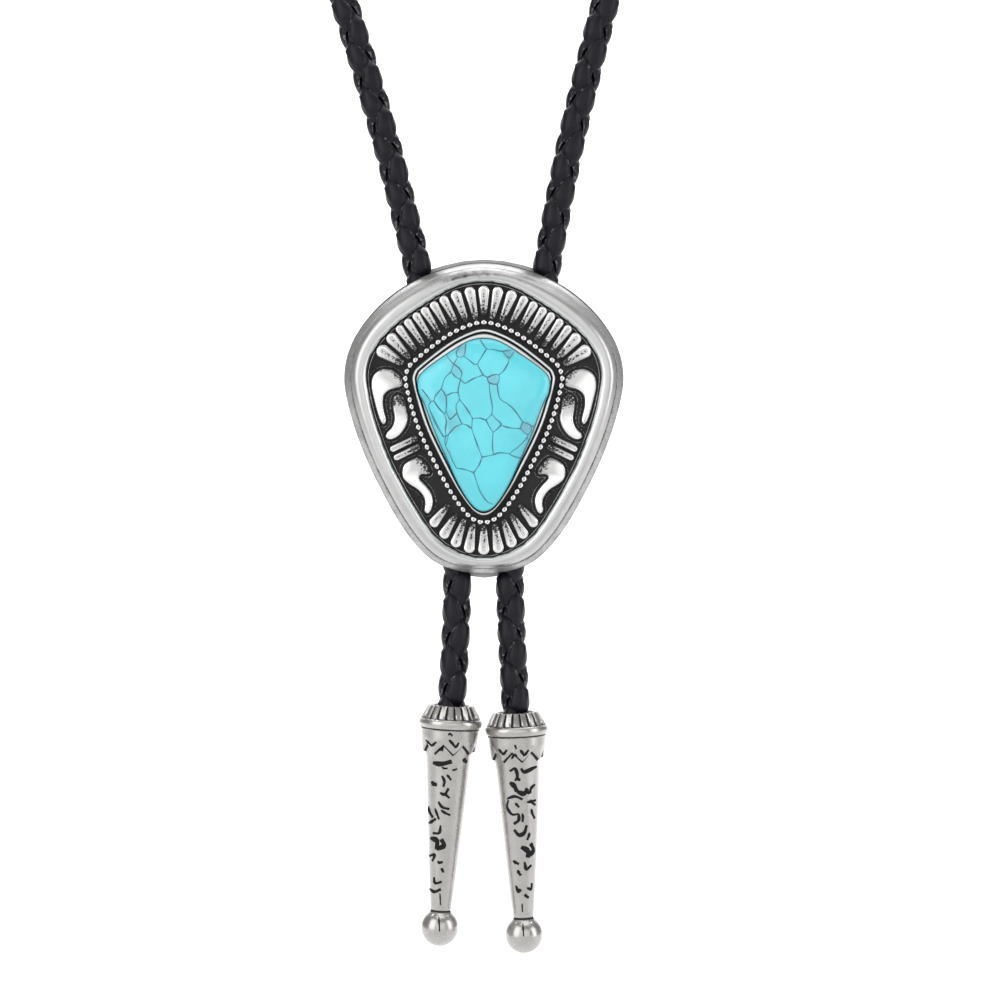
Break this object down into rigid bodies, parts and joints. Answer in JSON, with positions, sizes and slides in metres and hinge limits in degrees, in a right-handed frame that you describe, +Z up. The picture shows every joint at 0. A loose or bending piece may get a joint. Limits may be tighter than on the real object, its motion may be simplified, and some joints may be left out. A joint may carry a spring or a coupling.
{
  "type": "bolo tie",
  "caption": "Bolo tie held up as worn: cast slide with domed stone and raised relief on a braided cord loop, with long cast tips.",
  "frame": {"origin": "where the cord's loop hangs at the nape of the neck", "axes": "+Z up, -Y the way the slide faces, +X to the right as seen from the front"},
  "size_m": [0.1399, 0.1419, 0.3799],
  "materials": {
    "antiqued_silver": "satin, blackened in the recesses",
    "clip_metal": "plain",
    "turquoise": "polished, with thin dark veins",
    "black_leather": "satin, round braid of four laces"
  },
  "bodies": {
    "root": {"slide": "antiqued_silver", "stone": "turquoise", "back_clip": "clip_metal", "neck_cord": "black_leather", "tail_cord_left": "black_leather", "tail_cord_right": "black_leather", "tip_left": "antiqued_silver", "tip_right": "antiqued_silver"}
  },
  "joints": []
}
